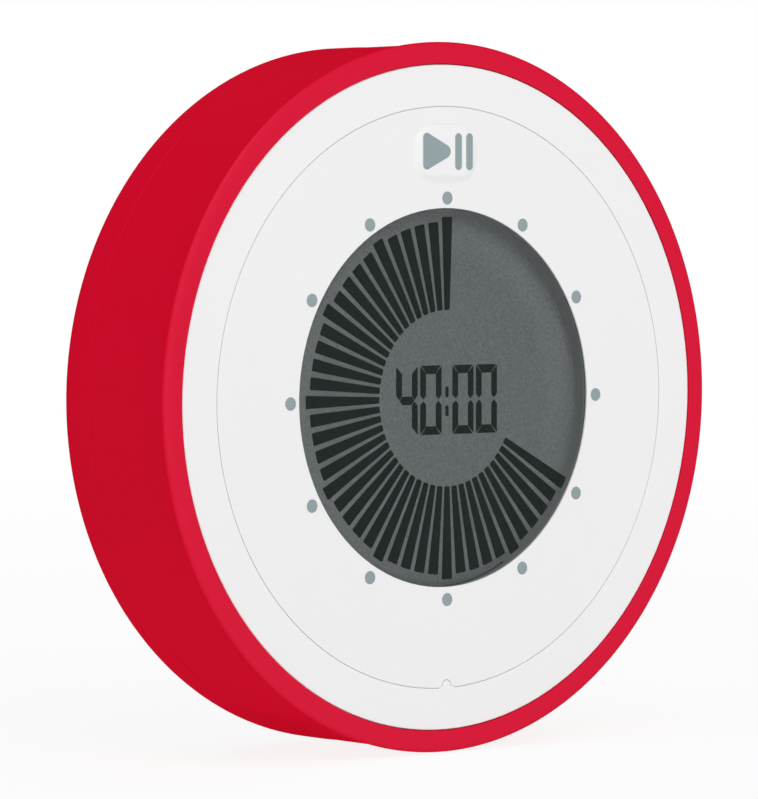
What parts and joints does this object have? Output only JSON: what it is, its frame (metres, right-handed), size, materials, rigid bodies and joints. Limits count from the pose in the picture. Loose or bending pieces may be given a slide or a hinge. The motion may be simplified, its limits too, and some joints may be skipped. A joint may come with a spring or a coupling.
{
  "type": "visual countdown timer",
  "caption": "Round digital countdown timer with a red twist ring, white face, start key, segment dial display, magnetic back and battery door.",
  "frame": {"origin": "middle of the back, on the outer face of the magnet", "axes": "face towards -Y, top of the dial towards +Z, +X to the right of someone looking at the face"},
  "size_m": [0.0826, 0.0254, 0.0826],
  "materials": {
    "case_plastic": "fine moulded texture, warm white",
    "tray_plastic": "moulded, slightly darker white",
    "face_plastic": "smooth satin white",
    "label_film": "satin white film",
    "dial_print": "grey-green ink",
    "clear_window": "clear window sheet",
    "bezel_dark": "matt dark grey",
    "display_dark": "dark display segments",
    "display_glass": "clear display glass",
    "display_grey": "fine-grained grey reflector",
    "frame_plastic": "moulded light grey",
    "flex_film": "amber film",
    "connector_plastic": "ivory moulded",
    "circuit_board": "green solder mask",
    "chip_epoxy": "black potting",
    "crystal_can": "drawn can",
    "switch_black": "black moulded",
    "screw_steel": "zinc plated",
    "switch_can": "tinned sheet",
    "lead_red": "insulated wire",
    "cell_wrap": "printed wrap, plain bands",
    "contact_plate": "nickel plated spring steel",
    "magnet_plating": "nickel plated",
    "foot_rubber": "soft grey rubber",
    "ring_plastic": "moulded red",
    "gear_plastic": "natural acetal",
    "grip_red": "satin soft-touch red",
    "shaft_steel": "turned",
    "key_plastic": "satin white",
    "slider_plastic": "black moulded, ribbed"
  },
  "bodies": {
    "core": {"rear_housing": "case_plastic", "battery_tray": "tray_plastic", "front_cover": "face_plastic", "face_label": "label_film", "dial_dots": "dial_print", "window_lens": "clear_window", "lcd_bezel": "bezel_dark", "lcd_segments": "display_dark", "lcd_glass": "display_glass", "lcd_reflector": "display_grey", "lcd_frame": "frame_plastic", "lcd_flex": "flex_film", "flex_connector": "connector_plastic", "main_board": "circuit_board", "controller_chip": "chip_epoxy", "crystal": "crystal_can", "start_switch": "switch_black", "encoder_body": "switch_black", "buzzer": "switch_black", "cover_screws": "screw_steel", "board_screws": "screw_steel", "switch_board": "circuit_board", "volume_switch": "switch_can", "repeat_switch": "switch_can", "switch_leads": "lead_red", "battery_cells": "cell_wrap", "positive_contact": "contact_plate", "negative_spring": "contact_plate", "bridge_contact": "contact_plate", "back_magnet": "magnet_plating", "foot_ring": "foot_rubber"},
    "twist_ring": {"ring_frame": "ring_plastic", "ring_gear": "gear_plastic", "grip_sleeve": "grip_red", "rear_band": "grip_red"},
    "encoder_rotor": {"encoder_shaft": "shaft_steel", "drive_pinion": "gear_plastic"},
    "start_key": {"start_button": "key_plastic", "start_icon": "dial_print", "switch_plunger": "switch_black"},
    "volume_knob": {"volume_slider": "slider_plastic"},
    "repeat_knob": {"repeat_slider": "slider_plastic"},
    "door": {"battery_door": "case_plastic", "door_screw": "screw_steel"}
  },
  "joints": [
    {"name": "ring_turn", "type": "hinge", "parent": "core", "child": "twist_ring", "pos_m": [0, -0.012, 0], "axis": [0, -1, 0], "continuous": true},
    {"name": "encoder_spin", "type": "hinge", "parent": "core", "child": "encoder_rotor", "pos_m": [0, -0.012, -0.032], "axis": [0, -1, 0], "continuous": true},
    {"name": "start_press", "type": "slide", "parent": "core", "child": "start_key", "axis": [0, 1, 0], "range_m": [0, 0.0005], "stiffness_N_per_m": 2400, "springref_m": -0.0002},
    {"name": "volume_slide", "type": "slide", "parent": "core", "child": "volume_knob", "axis": [1, 0, 0], "range_m": [-0.0018, 0.0018]},
    {"name": "repeat_slide", "type": "slide", "parent": "core", "child": "repeat_knob", "axis": [1, 0, 0], "range_m": [0, 0.0036]},
    {"name": "door_lift", "type": "slide", "parent": "core", "child": "door", "axis": [0, 1, 0], "range_m": [0, 0.012]}
  ],
  "couplings": [
    {"joint": "encoder_spin", "follows": "ring_turn", "ratio": 7.6667}
  ]
}
